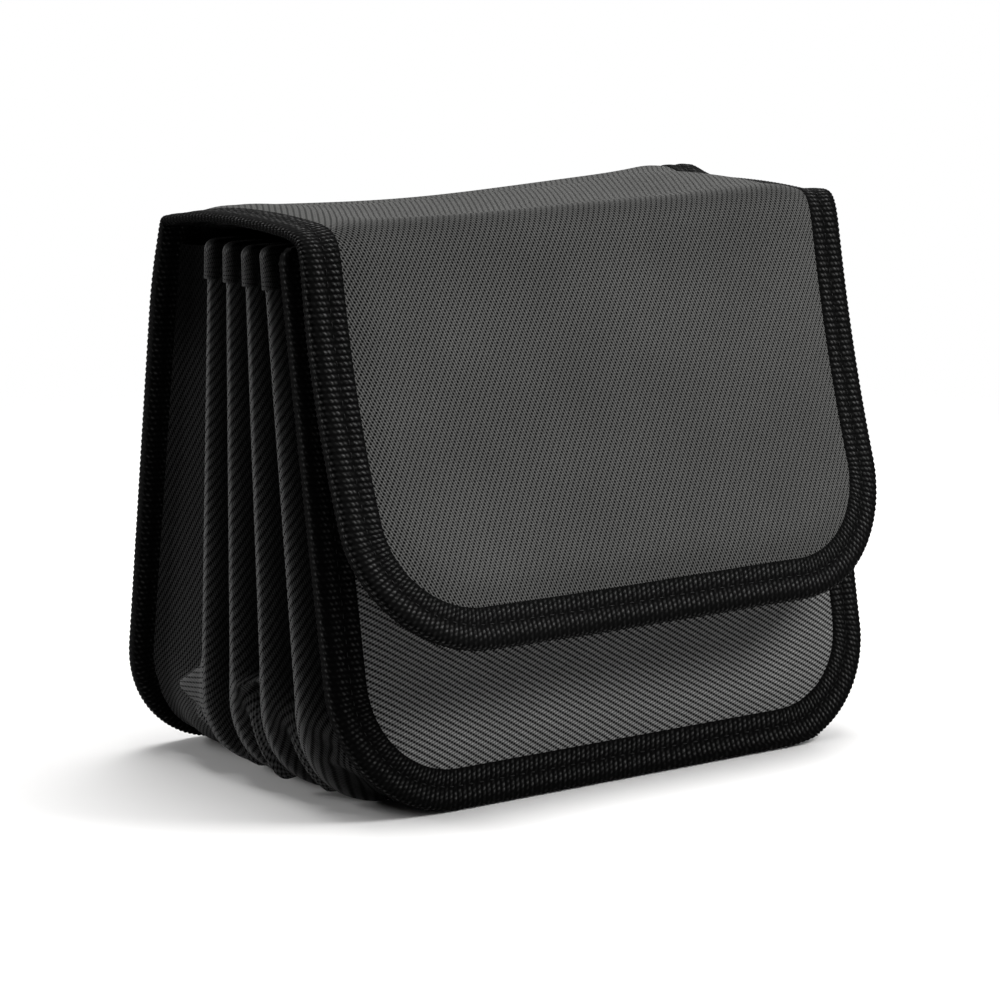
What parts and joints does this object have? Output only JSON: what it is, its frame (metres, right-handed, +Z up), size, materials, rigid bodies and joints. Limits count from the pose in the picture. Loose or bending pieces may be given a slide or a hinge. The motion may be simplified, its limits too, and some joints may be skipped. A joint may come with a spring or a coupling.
{
  "type": "lens filter case",
  "caption": "Soft pouch for flat camera filters: padded back, top and fold-over flap edged with tape, a padded front panel, and pleated sides that hold thin dividers.",
  "frame": {"origin": "on the ground under the middle of the base cloth, halfway between the front and back feet", "axes": "+Z up, -Y towards the flap at the front, +X to the right of someone who faces the flap"},
  "size_m": [0.1652, 0.1167, 0.145],
  "materials": {
    "outer_cloth": "charcoal twill",
    "side_cloth": "black twill",
    "base_cloth": "black twill",
    "divider_cloth": "black plain weave",
    "lining": "black plain weave",
    "foam": "closed-cell foam",
    "edge_tape": "black ribbed tape",
    "hem_tape": "black ribbed tape",
    "hook_tape": "hook tape",
    "loop_tape": "loop tape"
  },
  "bodies": {
    "back": {"back_outer": "outer_cloth", "back_foam": "foam", "back_lining": "lining", "back_binding": "edge_tape", "base_cloth": "base_cloth", "base_lining": "lining", "gusset_left_back": "side_cloth", "gusset_right_back": "side_cloth"},
    "top": {"top_outer": "outer_cloth", "top_foam": "foam", "top_lining": "lining", "top_binding_left": "edge_tape", "top_binding_right": "edge_tape"},
    "flap": {"flap_outer": "outer_cloth", "flap_foam": "foam", "flap_lining": "lining", "flap_binding": "edge_tape", "hook_patch": "hook_tape"},
    "divider_1": {"divider_1": "divider_cloth", "divider_1_binding": "hem_tape", "pleat_left_1": "side_cloth", "pleat_right_1": "side_cloth"},
    "divider_2": {"divider_2": "divider_cloth", "divider_2_binding": "hem_tape", "pleat_left_2": "side_cloth", "pleat_right_2": "side_cloth"},
    "divider_3": {"divider_3": "divider_cloth", "divider_3_binding": "hem_tape", "pleat_left_3": "side_cloth", "pleat_right_3": "side_cloth"},
    "divider_4": {"divider_4": "divider_cloth", "divider_4_binding": "hem_tape", "pleat_left_4": "side_cloth", "pleat_right_4": "side_cloth"},
    "front": {"front_outer": "outer_cloth", "front_foam": "foam", "front_lining": "lining", "front_binding": "edge_tape", "loop_patch": "loop_tape", "gusset_left_front": "side_cloth", "gusset_right_front": "side_cloth"}
  },
  "joints": [
    {"name": "top_fold", "type": "hinge", "parent": "back", "child": "top", "pos_m": [0, 0.031, 0.1412], "axis": [-1, 0, 0], "range_deg": [0, 190]},
    {"name": "flap_fold", "type": "hinge", "parent": "top", "child": "flap", "pos_m": [0, -0.03452, 0.1425], "axis": [-1, 0, 0], "range_deg": [0, 80]},
    {"name": "fan_1", "type": "hinge", "parent": "back", "child": "divider_1", "pos_m": [0, -0.052, 0], "axis": [1, 0, 0], "range_deg": [0, 3]},
    {"name": "fan_2", "type": "hinge", "parent": "divider_1", "child": "divider_2", "pos_m": [0, -0.052, 0], "axis": [1, 0, 0], "range_deg": [0, 3]},
    {"name": "fan_3", "type": "hinge", "parent": "divider_2", "child": "divider_3", "pos_m": [0, -0.052, 0], "axis": [1, 0, 0], "range_deg": [0, 3]},
    {"name": "fan_4", "type": "hinge", "parent": "divider_3", "child": "divider_4", "pos_m": [0, -0.052, 0], "axis": [1, 0, 0], "range_deg": [0, 3]},
    {"name": "fan_5", "type": "hinge", "parent": "divider_4", "child": "front", "pos_m": [0, -0.052, 0], "axis": [1, 0, 0], "range_deg": [0, 3]}
  ],
  "couplings": [
    {"joint": "fan_1", "follows": "top_fold", "ratio": 0.01575},
    {"joint": "fan_2", "follows": "top_fold", "ratio": 0.01575},
    {"joint": "fan_3", "follows": "top_fold", "ratio": 0.01575},
    {"joint": "fan_4", "follows": "top_fold", "ratio": 0.01575},
    {"joint": "fan_5", "follows": "top_fold", "ratio": 0.01575}
  ]
}
